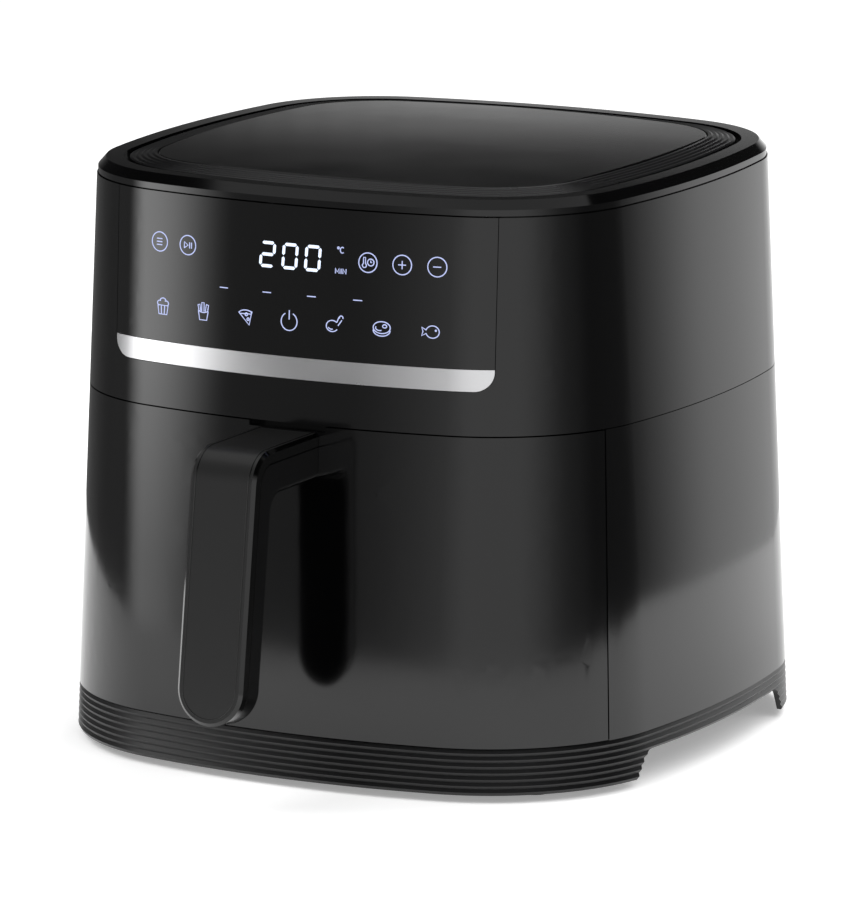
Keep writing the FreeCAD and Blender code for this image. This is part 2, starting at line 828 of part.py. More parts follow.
# Motor and fans
def motor_housing():
    can = cylinder(0, pan_centre_y, motor_bottom, motor_top, motor_radius)
    bore = cylinder(0, pan_centre_y, motor_bottom, motor_top, bearing_radius + seat)
    vents = []
    for vent in range(motor_vents):
        slot = box(vec(motor_radius - bracket_thickness, -bracket_leg / 2, motor_bottom + bearing_height),
                   vec(motor_radius + bracket_thickness, bracket_leg / 2, motor_top - bearing_height))
        slot.rotate(vec(0, 0, 0), vec(0, 0, 1), vent * 360 / motor_vents)
        slot.translate(vec(0, pan_centre_y, 0))
        vents.append(slot)
    return can.cut(bore).cut(Part.makeCompound(vents))


def motor_bearings():
    """One bush at each end of the motor."""
    bushes = []
    for low in (motor_bottom, motor_top - bearing_height):
        ring = cylinder(0, pan_centre_y, low, low + bearing_height, bearing_radius)
        bore = cylinder(0, pan_centre_y, low, low + bearing_height, shaft_radius + shaft_fit)
        bushes.append(ring.cut(bore))
    return Part.makeCompound(bushes)


def motor_bracket():
    """Plate on four legs that stand on the dome."""
    low = vec(-bracket_half - bracket_leg, pan_centre_y - bracket_half - bracket_leg, bracket_bottom)
    high = vec(bracket_half + bracket_leg, pan_centre_y + bracket_half + bracket_leg,
               bracket_bottom + bracket_thickness)
    parts = [box(low, high)]
    for x, y in corners(bracket_half, bracket_half):
        parts.append(cylinder(x, y + pan_centre_y, reflector_top + seat, bracket_bottom + bracket_thickness,
                              bracket_leg))
    plate = fused(parts)
    return plate.cut(cylinder(0, pan_centre_y, bracket_bottom, motor_bottom, bearing_radius + seat))


def fan(radius, disc_z, height, blades):
    """Radial fan: a disc on a hub with upright blades; a negative height hangs the blades down."""
    low = min(disc_z, disc_z + height)
    high = max(disc_z, disc_z + height) + fan_sheet
    parts = [cylinder(0, 0, disc_z, disc_z + fan_sheet, radius), cylinder(0, 0, low, high, fan_hub_radius)]
    for number in range(blades):
        blade = box(vec(fan_hub_radius - fan_sheet, -fan_sheet / 2, low), vec(radius, fan_sheet / 2, high))
        blade.rotate(vec(radius / 2, 0, 0), vec(0, 0, 1), blade_sweep)
        blade.rotate(vec(0, 0, 0), vec(0, 0, 1), number * 360 / blades)
        parts.append(blade)
    wheel = fused(parts).common(cylinder(0, 0, low, high, radius))
    wheel = wheel.cut(cylinder(0, 0, low, high, shaft_radius + shaft_fit))
    wheel.translate(vec(0, pan_centre_y, 0))
    return wheel


def hot_fan_disc():
    return reflector_top - reflector_wall - hot_fan_gap - fan_sheet


def convection_fan():
    return fan(hot_fan_radius, hot_fan_disc(), -hot_fan_height, hot_fan_blades)


def cooling_fan():
    return fan(cool_fan_radius, reflector_top + cool_fan_gap, cool_fan_height, cool_fan_blades)


def fan_nut():
    """Hexagon nut below the hot-air fan."""
    high = hot_fan_disc() - hot_fan_height - seat
    corner = nut_across / math.sqrt(3)
    ring = [vec(corner * math.cos(k * math.pi / 3), pan_centre_y + corner * math.sin(k * math.pi / 3),
                high - nut_height) for k in range(6)]
    nut = prism(ring, vec(0, 0, nut_height))
    return nut.cut(cylinder(0, pan_centre_y, high - nut_height, high, shaft_radius + shaft_fit))


def motor_shaft():
    low = hot_fan_disc() - hot_fan_height - seat - nut_height
    return cylinder(0, pan_centre_y, low, motor_top + bearing_height, shaft_radius)


# Boards and sensors
def display_y():
    """Front face of the display board, a step behind the wall at its upper outer corners."""
    top = panel_bottom + panel_ledge + 2 * display_half_height
    return front_y(display_half_width, top, housing_wall) + display_reach


def display_board():
    low = vec(-display_half_width, display_y(), panel_bottom + panel_ledge)
    return box(low, vec(display_half_width, display_y() + board_thickness,
                        panel_bottom + panel_ledge + 2 * display_half_height))


def behind_panel():
    """Space inside the touch panel."""
    inset = panel_thickness + seat
    return stack([(panel_bottom, inset), (wall_top, inset)])


def display_module():
    """Light box of the display, between the board and the panel."""
    middle = panel_bottom + key_row_height - panel_ledge
    block = box(vec(-module_half_width, -far, middle - module_half_height),
                vec(module_half_width, display_y() - seat, middle + module_half_height))
    return block.common(behind_panel())


def key_places():
    """Places of the touch keys across and up the panel."""
    lower = panel_bottom + food_row_height - panel_ledge
    places = [((key - (food_keys - 1) / 2) * food_pitch, lower) for key in range(food_keys)]
    upper = panel_bottom + key_row_height - panel_ledge
    places += [(side_key_first + key * side_key_pitch, upper) for key in range(3)]
    places += [(-side_key_first - key * side_key_pitch, upper) for key in (1, 2)]
    return places


def touch_springs():
    """Sprung contacts that reach from the board to the back of the panel."""
    springs = []
    for x, z in key_places():
        springs.append(rod_y(x, z, -far, display_y() - seat, spring_radius).common(behind_panel()))
    return Part.makeCompound(springs)


def display_brackets():
    """Ribs that hold the ends of the display board off the wall."""
    inset = housing_wall + seat
    inside = stack([(panel_bottom, inset), (wall_top, inset)])
    low = vec(display_half_width - bracket_tab, -far, panel_bottom + panel_ledge)
    high = vec(display_half_width, display_y() - seat, low.z + 2 * display_half_height)
    rib = box(low, high).common(inside)
    return Part.makeCompound([rib, mirrored_x(rib)])


def power_x():
    """Inner face of the power board, which stands beside the right wall."""
    return outline_at(power_z)[0] - housing_wall - power_set_back - board_thickness


def power_board():
    low = vec(power_x(), -power_half_depth, power_z - power_half_height)
    return box(low, vec(power_x() + board_thickness, power_half_depth, power_z + power_half_height))


def board_standoffs():
    """Posts from the wall to the corners of the power board."""
    inset = housing_wall + seat
    inside = stack([(upper_bottom, inset), (wall_top, inset)])
    posts = []
    for y, z in corners(power_half_depth - standoff_radius, power_half_height - standoff_radius):
        start = vec(power_x() + board_thickness + seat, y, power_z + z)
        posts.append(Part.makeCylinder(standoff_radius, far, start, vec(1, 0, 0)).common(inside))
    return Part.makeCompound(posts)


def power_parts():
    """Relay, transformer and capacitor on the power board."""
    face = power_x() - seat
    back = face - power_part_height
    first = power_part_margin - power_half_depth
    relay = box(vec(back, first, power_z - relay_height), vec(face, first + relay_depth, power_z))
    core = box(vec(back, -core_half, power_z - core_half), vec(face, core_half, power_z + core_half))
    can_place = vec(back, power_half_depth - power_part_margin - can_radius, power_z)
    can = Part.makeCylinder(can_radius, power_part_height, can_place, vec(1, 0, 0))
    return Part.makeCompound([relay, core, can])


def thermal_cutout():
    low = reflector_top + seat
    return cylinder(0, pan_centre_y - (coil_radius - coil_step), low, low + cutout_height, cutout_radius)


def temperature_probe():
    """Sensor rod through the dome with a collar on top."""
    x, y = probe_place()
    rod = cylinder(x, y, reflector_top - probe_length / 2, reflector_top + probe_length / 2, probe_radius)
    collar = cylinder(x, y, reflector_top + seat, reflector_top + probe_collar, probe_collar_radius)
    return rod.fuse(collar).removeSplitter()


# Drawer switch
def plunger_x():
    """Middle of the drawer's side wall where the plunger meets it."""
    half_x, half_y, corner = outline_at(switch_z)
    front, side = arc_radii(half_x, half_y, corner)
    centre_x = (front - corner) * math.sin(front_sweep)
    centre_y = front - half_y - (front - corner) * math.cos(front_sweep)
    middle = corner - drawer_wall / 2
    return -(centre_x + math.sqrt(middle ** 2 - (edge_y(switch_z) - centre_y) ** 2))


def switch_front():
    return edge_y(lower_top) + housing_wall + seat


def plunger_back():
    return switch_front() + plunger_reach


def interlock_switch():
    """Switch body behind the jamb, bored for its plunger."""
    x = plunger_x()
    front = switch_front()
    body = box(vec(x - switch_width / 2, front, switch_z - switch_height / 2),
               vec(x + switch_width / 2, front + switch_depth, switch_z + switch_height / 2))
    inside = stack([(lower_bottom, housing_wall + seat), (lower_top, housing_wall + seat)])
    return body.common(inside).cut(plunger_bore(shaft_fit))


def plunger_bore(margin):
    """Room for the plunger and its travel."""
    front = edge_y(switch_z) - drawer_gap
    back = plunger_back() + plunger_travel + seat
    return rod_y(plunger_x(), switch_z, front, back, plunger_radius + margin)


def interlock_plunger():
    """Pin that the drawer's side wall pushes in."""
    return rod_y(plunger_x(), switch_z, edge_y(switch_z) - drawer_gap / 2, plunger_back(), plunger_radius)


# Drawer
def screw_places():
    """Screws through the front wall: x, z, radius, head radius and depth into the front or the handle."""
    low = frame_bottom - frame_flange_height / 2
    arm = handle_arm_top - handle_arm_thickness + handle_screw_lift
    frame = [(side * frame_screw_x, low, frame_screw_radius, frame_screw_head, drawer_wall - 2 * seat)
             for side in (-1, 1)]
    handle = [(side * handle_screw_x, arm, handle_screw_radius, handle_screw_head, handle_screw_depth)
              for side in (-1, 1)]
    return frame, handle


def front_screw(x, z, radius, head, depth, margin):
    """Screw along Y from the back of the frame flange into the front, with a margin for its hole."""
    back = front_y(x, z, drawer_wall + seat + frame_flange_wall) + seat * 2
    tip = front_y(x, z, drawer_wall) - depth
    shank = rod_y(x, z, tip - margin, back, radius + margin)
    return shank.fuse(rod_y(x, z, back, back + screw_head_height, head)).removeSplitter()


def screw_holes(which):
    return Part.makeCompound([front_screw(*place, seat) for place in which])


def drawer_front():
    """Deep dish that wraps the front corners, with a notch above the handle arm."""
    dish = stack([(drawer_bottom, 0.0), (drawer_top, 0.0)])
    hollow = stack([(drawer_bottom + drawer_wall, drawer_wall), (drawer_top - drawer_wall, drawer_wall)])
    notch = box(vec(-notch_half_width, -far, drawer_top - notch_height),
                vec(notch_half_width, front_y(0, drawer_top, notch_depth), drawer_top))
    frame, handle = screw_places()
    front = dish.common(drawer_region(-drawer_gap)).cut(hollow).cut(notch)
    return front.cut(screw_holes(frame)).cut(screw_holes(handle))


def drawer_frame():
    """Carrier round the pan, with a flange that is screwed to the back of the front."""
    inset = drawer_wall + seat
    inside = stack([(drawer_bottom, inset), (drawer_top, inset)])
    shelf = carrier_block(0.0, -base_half_depth, frame_bottom, frame_top).common(inside)
    hole = Part.Face(round_wire(pan_half + seat, pan_corner + seat, frame_bottom))
    hole = hole.extrude(vec(0, 0, frame_height))
    skin = wall_shell(frame_bottom - frame_flange_height, frame_top, inset, inset + frame_flange_wall)
    flange = skin.common(box(vec(-frame_flange_half, -far, 0), vec(frame_flange_half, 0, drawer_top)))
    frame, handle = screw_places()
    carrier = fused([shelf.cut(hole), flange])
    return carrier.cut(screw_holes(frame)).cut(screw_holes(handle))


def frame_screws():
    return Part.makeCompound([front_screw(*place, 0.0) for place in screw_places()[0]])


def handle_screws():
    return Part.makeCompound([front_screw(*place, 0.0) for place in screw_places()[1]])


def pan_form(shrink, low, high):
    """Pan outline through its height, rounded in towards the floor."""
    rings = [(pan_draft + pan_floor_round, low), (pan_draft, low + pan_floor_round), (0.0, high)]
    wires = []
    for draft, z in rings:
        wires.append(round_wire(pan_half - shrink - draft, pan_corner - shrink - draft, z))
    return Part.makeLoft(wires, True, True)


def basket_pan():
    """Sheet pan with a flat lip that hangs on the frame."""
    outer = pan_form(0.0, pan_bottom, pan_top)
    inner = pan_form(pan_wall, pan_bottom + pan_wall, pan_top)
    lip = Part.Face(round_wire(pan_half + pan_lip, pan_corner + pan_lip, pan_top - pan_wall))
    return outer.fuse(lip.extrude(vec(0, 0, pan_wall))).cut(inner).removeSplitter()


def plate_half():
    """Half width of the crisper plate at its height in the pan."""
    share = (plate_height - pan_floor_round) / (pan_depth - pan_floor_round)
    return pan_half - pan_draft * (1 - share) - pan_wall - plate_gap


def crisper_plate():
    """Perforated plate with a raised rim."""
    low = pan_bottom + plate_height
    half = plate_half()
    corner = pan_corner - pan_draft - pan_wall - plate_gap
    plate = Part.Face(round_wire(half, corner, low)).extrude(vec(0, 0, plate_rim))
    dish = Part.Face(round_wire(half - plate_thickness, corner - plate_thickness, low + plate_thickness))
    plate = plate.cut(dish.extrude(vec(0, 0, plate_rim)))
    holes = []
    for row in range(plate_hole_rows):
        for column in range(plate_hole_rows):
            x = (column - (plate_hole_rows - 1) / 2) * plate_hole_pitch
            y = pan_centre_y + (row - (plate_hole_rows - 1) / 2) * plate_hole_pitch
            holes.append(cylinder(x, y, low, low + plate_thickness, plate_hole_radius))
    return plate.cut(Part.makeCompound(holes))


def plate_bumpers():
    """Soft pads on the four sides of the plate that grip the pan."""
    low = pan_bottom + plate_height
    pads = []
    for quarter in range(4):
        pad = box(vec(plate_half() + seat, -bumper_width / 2, low),
                  vec(plate_half() + seat + bumper_thickness, bumper_width / 2, low + plate_rim))
        pad.rotate(vec(0, 0, 0), vec(0, 0, 1), quarter * 90)
        pad.translate(vec(0, pan_centre_y, 0))
        pads.append(pad)
    return Part.makeCompound(pads)


# Handle: an arm out from the drawer front that bends down into a leaning grip
def grip_line(z):
    """Front of the grip at height z."""
    return -(handle_reach + (handle_arm_top - z) * math.tan(handle_lean))


def grip_normal():
    return vec(0, math.cos(handle_lean), -math.sin(handle_lean))


def bend_centre():
    z = handle_arm_top - handle_bend
    return vec(0, grip_line(z) + handle_bend / math.cos(handle_lean), z)


def grip_base():
    """Middle of the round lower end, on the front of the grip."""
    z = handle_bottom + handle_half_width
    return vec(0, grip_line(z), z)


def grip_outline(half_width):
    """Upright bar with a round lower end, as seen along the grip's normal."""
    base = grip_base()
    normal = grip_normal()
    up = vec(0, math.sin(handle_lean), math.cos(handle_lean))
    front = base.sub(normal * far)
    points = [front, base.add(normal * far), base.add(normal * far).add(up * far), front.add(up * far)]
    bar = prism([p.sub(vec(half_width, 0, 0)) for p in points], vec(2 * half_width, 0, 0))
    return bar.fuse(Part.makeCylinder(half_width, 2 * far, front, normal)).removeSplitter()


def handle_layer(depth, inner_edges):
    """Side profile from a depth below the outer face to the given inner edges."""
    centre = bend_centre()
    normal = grip_normal()
    radius = handle_bend - depth
    root = vec(0, 0, handle_arm_top - depth)
    start = centre.add(vec(0, 0, radius))
    end = centre.sub(normal * radius)
    half_turn = (math.pi / 2 - handle_lean) / 2
    middle = centre.add(vec(0, -math.sin(half_turn) * radius, math.cos(half_turn) * radius))
    foot = vec(0, grip_line(0) + depth / math.cos(handle_lean), 0)
    edges = [Part.LineSegment(root, start).toShape(), Part.Arc(start, middle, end).toShape()]
    edges.append(Part.LineSegment(end, foot).toShape())
    ring = [foot] + inner_edges + [root]
    for first, last in zip(ring, ring[1:]):
        edges.append(Part.LineSegment(first, last).toShape())
    blank = Part.Face(Part.Wire(edges)).extrude(vec(2 * handle_half_width, 0, 0))
    blank.translate(vec(-handle_half_width, 0, 0))
    return blank


def drawer_side():
    """Everything behind the drawer's front surface."""
    return stack([(base_bottom, -seat), (wall_top, -seat)])


def hand_room():
    """Corners of the space between the grip and the drawer, seen from the side."""
    under = handle_arm_top - handle_arm_thickness
    grip_back = handle_thickness / math.cos(handle_lean)
    return [vec(0, grip_line(0) + grip_back, 0), vec(0, grip_line(under) + grip_back, under), vec(0, 0, under)]


def handle_solid(depth):
    """Handle below a depth, without its rounding."""
    return handle_layer(depth, hand_room())


def outline_edges(shape, other, distance):
    """Edges, apart from straight ones across, whose middle lies at a distance from another solid."""
    found = []
    for edge in shape.Edges:
        middle = edge.valueAt((edge.FirstParameter + edge.LastParameter) / 2)
        across = edge.Curve.TypeId == "Part::GeomLine" and abs(edge.tangentAt(edge.FirstParameter).x) > 0.99
        away = Part.Vertex(middle).distToShape(other)[0]
        if not across and abs(away - distance) < 1e-3:
            found.append(edge)
    return found


def inner_corner(shape):
    corner = hand_room()[1]
    return [edge for edge in edges_at(shape, corner.z) if abs(edge.CenterOfMass.y - corner.y) < 1e-3]


def handle_frame():
    """Arm and rear half of the grip, rounded towards the hand."""
    blank = handle_solid(cover_plate + parting_gap)
    blank = blank.makeFillet(handle_inner_bend, inner_corner(blank))
    bar = blank.common(grip_outline(handle_half_width - seat))
    room = prism(hand_room() + [vec(0, 0, 0)], vec(2 * handle_half_width, 0, 0))
    room.translate(vec(-handle_half_width, 0, 0))
    bar = bar.makeFillet(grip_round, outline_edges(bar, room, 0.0))
    return bar.cut(drawer_side()).cut(screw_holes(screw_places()[1]))


def handle_cover():
    """Front plate that runs over the bend and along the arm, bevelled all round."""
    plate = handle_solid(0.0).cut(handle_solid(cover_plate)).common(grip_outline(handle_half_width))
    plate = plate.makeChamfer(cover_bevel, outline_edges(plate, handle_solid(cover_bevel), cover_bevel))
    return plate.cut(drawer_side())


builders = [
    base_skirt, rubber_feet, bottom_cover, cover_screws, lower_housing, upper_housing,
    control_panel, trim_strip, top_rim, lid_ring, lid_panel, chamber_liner, drawer_guides,
    chamber_deck, exhaust_duct, rear_grille, cord_gland, heat_reflector, heater_coil,
    heater_insulators, heater_clips, fan_guard, motor_housing, motor_bearings, motor_bracket,
    convection_fan, cooling_fan, fan_nut, motor_shaft, display_board, display_module,
    touch_springs, display_brackets, power_board, board_standoffs, power_parts, thermal_cutout,
    temperature_probe, interlock_switch, interlock_plunger, drawer_front, drawer_frame,
    frame_screws, handle_screws, basket_pan, crisper_plate, plate_bumpers, handle_frame,
    handle_cover,
]

# Build every piece, then stand the whole on the middle of its footprint
os.makedirs("parts", exist_ok=True)
pieces = {build.__name__: build() for build in builders}
whole = FreeCAD.BoundBox()
for shape in pieces.values():
    whole.add(shape.optimalBoundingBox(False))
place = vec(-whole.Center.x, -whole.Center.y, -whole.ZMin)
for name, shape in pieces.items():
    shape.translate(place)
    shape.exportStep("parts/" + name + ".step")
    print(name, len(shape.Solids), shape.isValid(), round(shape.Volume))
print("size", whole.XLength, whole.YLength, whole.ZLength, "placed by", place.y)
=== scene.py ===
import json
import math

import bpy
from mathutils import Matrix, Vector


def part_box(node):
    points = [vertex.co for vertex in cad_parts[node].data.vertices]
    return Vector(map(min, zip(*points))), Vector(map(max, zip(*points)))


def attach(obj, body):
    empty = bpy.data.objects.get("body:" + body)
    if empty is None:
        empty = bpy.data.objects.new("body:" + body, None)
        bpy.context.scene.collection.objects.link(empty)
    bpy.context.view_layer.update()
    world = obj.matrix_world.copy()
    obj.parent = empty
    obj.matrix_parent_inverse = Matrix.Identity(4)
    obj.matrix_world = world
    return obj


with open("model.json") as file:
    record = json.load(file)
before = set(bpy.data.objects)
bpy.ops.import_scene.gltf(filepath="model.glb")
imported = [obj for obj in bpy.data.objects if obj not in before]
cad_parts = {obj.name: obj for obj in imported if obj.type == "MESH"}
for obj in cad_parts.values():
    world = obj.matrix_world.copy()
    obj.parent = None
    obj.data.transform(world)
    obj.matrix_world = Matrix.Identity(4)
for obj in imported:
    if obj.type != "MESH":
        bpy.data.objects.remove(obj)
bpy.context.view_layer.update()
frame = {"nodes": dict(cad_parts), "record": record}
nodes = frame["nodes"]
MM = 0.001

# Camera, as a real stand and lens
CAMERA_AZIMUTH = math.radians(27.816)
CAMERA_ELEVATION = math.radians(11.496)
CAMERA_DISTANCE = 3.6397
CAMERA_TARGET_HEIGHT = 0.1397
LENS_MM = 295.4
SENSOR_MM = 36.0
LENS_SHIFT = (-0.0053, -0.0090)

# Body outline, the same family of arcs as the moulded housing
wall_foot = 4.0 * MM
wall_top = 279.6 * MM
front_sweep = math.radians(11.15)
side_sweep = math.radians(8.47)
foot_outline = Vector((159.6, 159.2, 93.9)) * MM
top_outline = Vector((146.1, 145.5, 73.4)) * MM
body_y = (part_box("lid_panel")[0][1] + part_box("lid_panel")[1][1]) / 2


def front_arc(z):
    """Radius and depth of the outline's front arc at a height."""
    share = (z - wall_foot) / (wall_top - wall_foot)
    width, depth, corner = foot_outline.lerp(top_outline, share)
    s, c = math.sin(front_sweep), math.cos(front_sweep)
    sp, cp = math.sin(side_sweep), math.cos(side_sweep)
    across = corner * s + width - corner * cp
    along = depth - corner * c + corner * sp
    radius = (across * sp - along * (1 - cp)) / (s * sp - (1 - c) * (1 - cp))
    return radius, depth


def on_front(x, z, proud=0.0):
    """Point on the body's front at a place across and a height, lifted off it by a small step."""
    radius, depth = front_arc(z)
    y = radius - depth - math.sqrt(radius ** 2 - x ** 2)
    return Vector((x, body_y + y - proud, z))


# Finishes
BROAD_SCALE = 18.0
GRAIN_DEPTH = 0.0001
BLACK = (0.0008, 0.0008, 0.0009)
DARK = (0.0025, 0.0025, 0.0028)
STEEL = (0.58, 0.58, 0.57)
ALUMINIUM = (0.75, 0.75, 0.76)
NOISE_SPAN = (0.3, 0.7)


def shader(name):
    """New material with its main shader and its node tree."""
    material = bpy.data.materials.new(name)
    material.use_nodes = True
    return material, material.node_tree, material.node_tree.nodes["Principled BSDF"]


def texture(tree, scale, stretch=(1, 1, 1), detail=4.0):
    """Noise over the object's own coordinates, drawn out along its axes."""
    place = tree.nodes.new("ShaderNodeTexCoord")
    mapping = tree.nodes.new("ShaderNodeMapping")
    noise = tree.nodes.new("ShaderNodeTexNoise")
    mapping.inputs["Scale"].default_value = stretch
    noise.inputs["Scale"].default_value = scale
    noise.inputs["Detail"].default_value = detail
    tree.links.new(place.outputs["Object"], mapping.inputs["Vector"])
    tree.links.new(mapping.outputs["Vector"], noise.inputs["Vector"])
    return noise.outputs["Fac"]


def spread(tree, value, low, high):
    """Noise stretched over a range."""
    ramp = tree.nodes.new("ShaderNodeMapRange")
    ramp.inputs["From Min"].default_value, ramp.inputs["From Max"].default_value = NOISE_SPAN
    ramp.inputs["To Min"].default_value = low
    ramp.inputs["To Max"].default_value = high
    tree.links.new(value, ramp.inputs["Value"])
    return ramp.outputs["Result"]


def finish(name, colour, rough, metal=0.0, specular=0.5, grain=2500.0, relief=0.02, stretch=(1, 1, 1),
           wear=0.03):
    """Surface with a slightly uneven gloss and a fine moulded, brushed or cast grain."""
    material, tree, surface = shader(name)
    surface.inputs["Base Color"].default_value = (*colour, 1)
    surface.inputs["Metallic"].default_value = metal
    surface.inputs["Specular IOR Level"].default_value = specular
    broad = texture(tree, BROAD_SCALE, detail=2.0)
    tree.links.new(spread(tree, broad, max(rough - wear, 0.02), rough + wear), surface.inputs["Roughness"])
    bump = tree.nodes.new("ShaderNodeBump")
    bump.inputs["Strength"].default_value = relief
    bump.inputs["Distance"].default_value = GRAIN_DEPTH
    tree.links.new(texture(tree, grain, stretch), bump.inputs["Height"])
    tree.links.new(bump.outputs["Normal"], surface.inputs["Normal"])
    return material


finishes = {
    "housing_black": finish("housing_black", BLACK, 0.10, wear=0.015),
    "base_black": finish("base_black", DARK, 0.34, relief=0.08),
    "panel_gloss": finish("panel_gloss", BLACK, 0.08, relief=0.01, wear=0.015),
    "lid_gloss": finish("lid_gloss", BLACK, 0.16),
    "lid_ring_black": finish("lid_ring_black", DARK, 0.28),
    "strip_metal": finish("strip_metal", (0.68, 0.68, 0.69), 0.30, metal=1.0, grain=900.0, relief=0.15,
                          stretch=(0.02, 1, 1)),
    "handle_black": finish("handle_black", (0.0015, 0.0015, 0.0016), 0.16, relief=0.03),
    "foot_rubber": finish("foot_rubber", DARK, 0.75, specular=0.3, relief=0.3),
    "bumper_rubber": finish("bumper_rubber", (0.03, 0.03, 0.03), 0.7, specular=0.3, relief=0.3),
    "inner_plastic": finish("inner_plastic", (0.02, 0.02, 0.02), 0.5, relief=0.1),
    "plunger_white": finish("plunger_white", (0.75, 0.74, 0.70), 0.4),
    "sheet_steel": finish("sheet_steel", STEEL, 0.32, metal=1.0, grain=700.0, relief=0.08,
                          stretch=(1, 0.05, 1)),
    "coated_pan": finish("coated_pan", (0.030, 0.030, 0.032), 0.42, grain=1600.0, relief=0.25),
    "element_steel": finish("element_steel", (0.18, 0.17, 0.16), 0.45, metal=1.0, relief=0.15),
    "insulator_white": finish("insulator_white", (0.78, 0.76, 0.70), 0.55, relief=0.1),
    "fan_aluminium": finish("fan_aluminium", ALUMINIUM, 0.35, metal=1.0, relief=0.1),
    "fan_plastic": finish("fan_plastic", (0.05, 0.05, 0.05), 0.45),
    "shaft_steel": finish("shaft_steel", STEEL, 0.22, metal=1.0, relief=0.05),
    "bearing_bronze": finish("bearing_bronze", (0.52, 0.33, 0.14), 0.35, metal=1.0, relief=0.1),
    "board_green": finish("board_green", (0.02, 0.13, 0.06), 0.4, relief=0.1),
    "display_white": finish("display_white", (0.80, 0.80, 0.78), 0.45),
    "contact_steel": finish("contact_steel", STEEL, 0.28, metal=1.0, relief=0.05),
    "part_black": finish("part_black", (0.025, 0.025, 0.027), 0.5, relief=0.1),
    "probe_steel": finish("probe_steel", STEEL, 0.25, metal=1.0, relief=0.05),
}

# Every node takes the finish of its slot, with its curved faces shaded smooth; the handle cover instead takes
# the plate finish, which paints shade on its side and downward bevels
SMOOTH_ANGLE = math.radians(28)
WELD = 0.00001
# Handle plate: its face colour and roughness, the bevels' polish, and the turn of the normal over which
# bevels take a near-black colour as painted shade
PLATE_GREY = (0.011, 0.011, 0.0115)
PLATE_ROUGH = 0.34
BEVEL_ROUGH = 0.09
BEVEL_SHADE_TURN = (0.30, 0.55)
HANDLE_LEAN = math.radians(7.9)


def smoothed(piece, angle):
    """Shade smooth across faces that meet at less than an angle, by a modifier on the piece."""
    group = bpy.data.node_groups.get("smooth_faces")
    if group is None:
        group = bpy.data.node_groups.new("smooth_faces", "GeometryNodeTree")
        group.interface.new_socket("Geometry", in_out="INPUT", socket_type="NodeSocketGeometry")
        group.interface.new_socket("Geometry", in_out="OUTPUT", socket_type="NodeSocketGeometry")
        start = group.nodes.new("NodeGroupInput")
        end = group.nodes.new("NodeGroupOutput")
        weld = group.nodes.new("GeometryNodeMergeByDistance")
        edge_angle = group.nodes.new("GeometryNodeInputMeshEdgeAngle")
        sharp = group.nodes.new("FunctionNodeCompare")
        faces = group.nodes.new("GeometryNodeSetShadeSmooth")
        edges = group.nodes.new("GeometryNodeSetShadeSmooth")
        edges.domain = "EDGE"
        weld.inputs["Distance"].default_value = WELD
        sharp.operation = "LESS_THAN"
        sharp.inputs["B"].default_value = angle
        group.links.new(start.outputs[0], weld.inputs["Geometry"])
        group.links.new(weld.outputs["Geometry"], faces.inputs["Geometry"])
        group.links.new(faces.outputs["Geometry"], edges.inputs["Geometry"])
        group.links.new(edge_angle.outputs["Unsigned Angle"], sharp.inputs["A"])
        group.links.new(sharp.outputs["Result"], edges.inputs["Shade Smooth"])
        group.links.new(edges.outputs["Geometry"], end.inputs[0])
    piece.modifiers.new("smooth", "NODES").node_group = group


def plate_finish_with_painted_shade():
    """Handle plate: matt on its face and polished on the bevels that turn to the sides or down, where a
    darker base colour is painted shade.
    """
    material = finish("handle_plate", PLATE_GREY, PLATE_ROUGH, relief=0.06)
    tree = material.node_tree
    surface = tree.nodes["Principled BSDF"]
    place = tree.nodes.new("ShaderNodeTexCoord")
    parts = tree.nodes.new("ShaderNodeSeparateXYZ")
    sideways = tree.nodes.new("ShaderNodeMath")
    sideways.operation = "ABSOLUTE"
    down = tree.nodes.new("ShaderNodeMath")
    down.operation = "MULTIPLY_ADD"
    down.inputs[1].default_value = -1.0
    down.inputs[2].default_value = -math.sin(HANDLE_LEAN)
    shade_and_polish_turn = tree.nodes.new("ShaderNodeMath")
    shade_and_polish_turn.operation = "MAXIMUM"
    tree.links.new(place.outputs["Normal"], parts.inputs["Vector"])
    tree.links.new(parts.outputs["X"], sideways.inputs[0])
    tree.links.new(parts.outputs["Z"], down.inputs[0])
    tree.links.new(sideways.outputs[0], shade_and_polish_turn.inputs[0])
    tree.links.new(down.outputs[0], shade_and_polish_turn.inputs[1])
    # Bevels turned sideways or down get a lower roughness, a real polish, and a near-black base colour, which
    # is painted shade
    ends = (("Roughness", PLATE_ROUGH, BEVEL_ROUGH), ("Base Color", PLATE_GREY[0], BLACK[0]))
    for name, face, bevel in ends:
        ramp = tree.nodes.new("ShaderNodeMapRange")
        ramp.inputs["From Min"].default_value, ramp.inputs["From Max"].default_value = BEVEL_SHADE_TURN
        ramp.inputs["To Min"].default_value = face
        ramp.inputs["To Max"].default_value = bevel
        tree.links.new(shade_and_polish_turn.outputs[0], ramp.inputs["Value"])
        tree.links.new(ramp.outputs["Result"], surface.inputs[name])
    return material


finishes["handle_plate"] = plate_finish_with_painted_shade()
# The handle cover takes the plate finish, with its painted shade on the side and downward bevels
own_finish = {"handle_cover": "handle_plate"}
for entry in frame["record"]["subparts"]:
    node = nodes[entry["node"]]
    node.data.materials.clear()
    node.data.materials.append(finishes[own_finish.get(entry["node"], entry["material_slot"])])
    smoothed(node, SMOOTH_ANGLE)

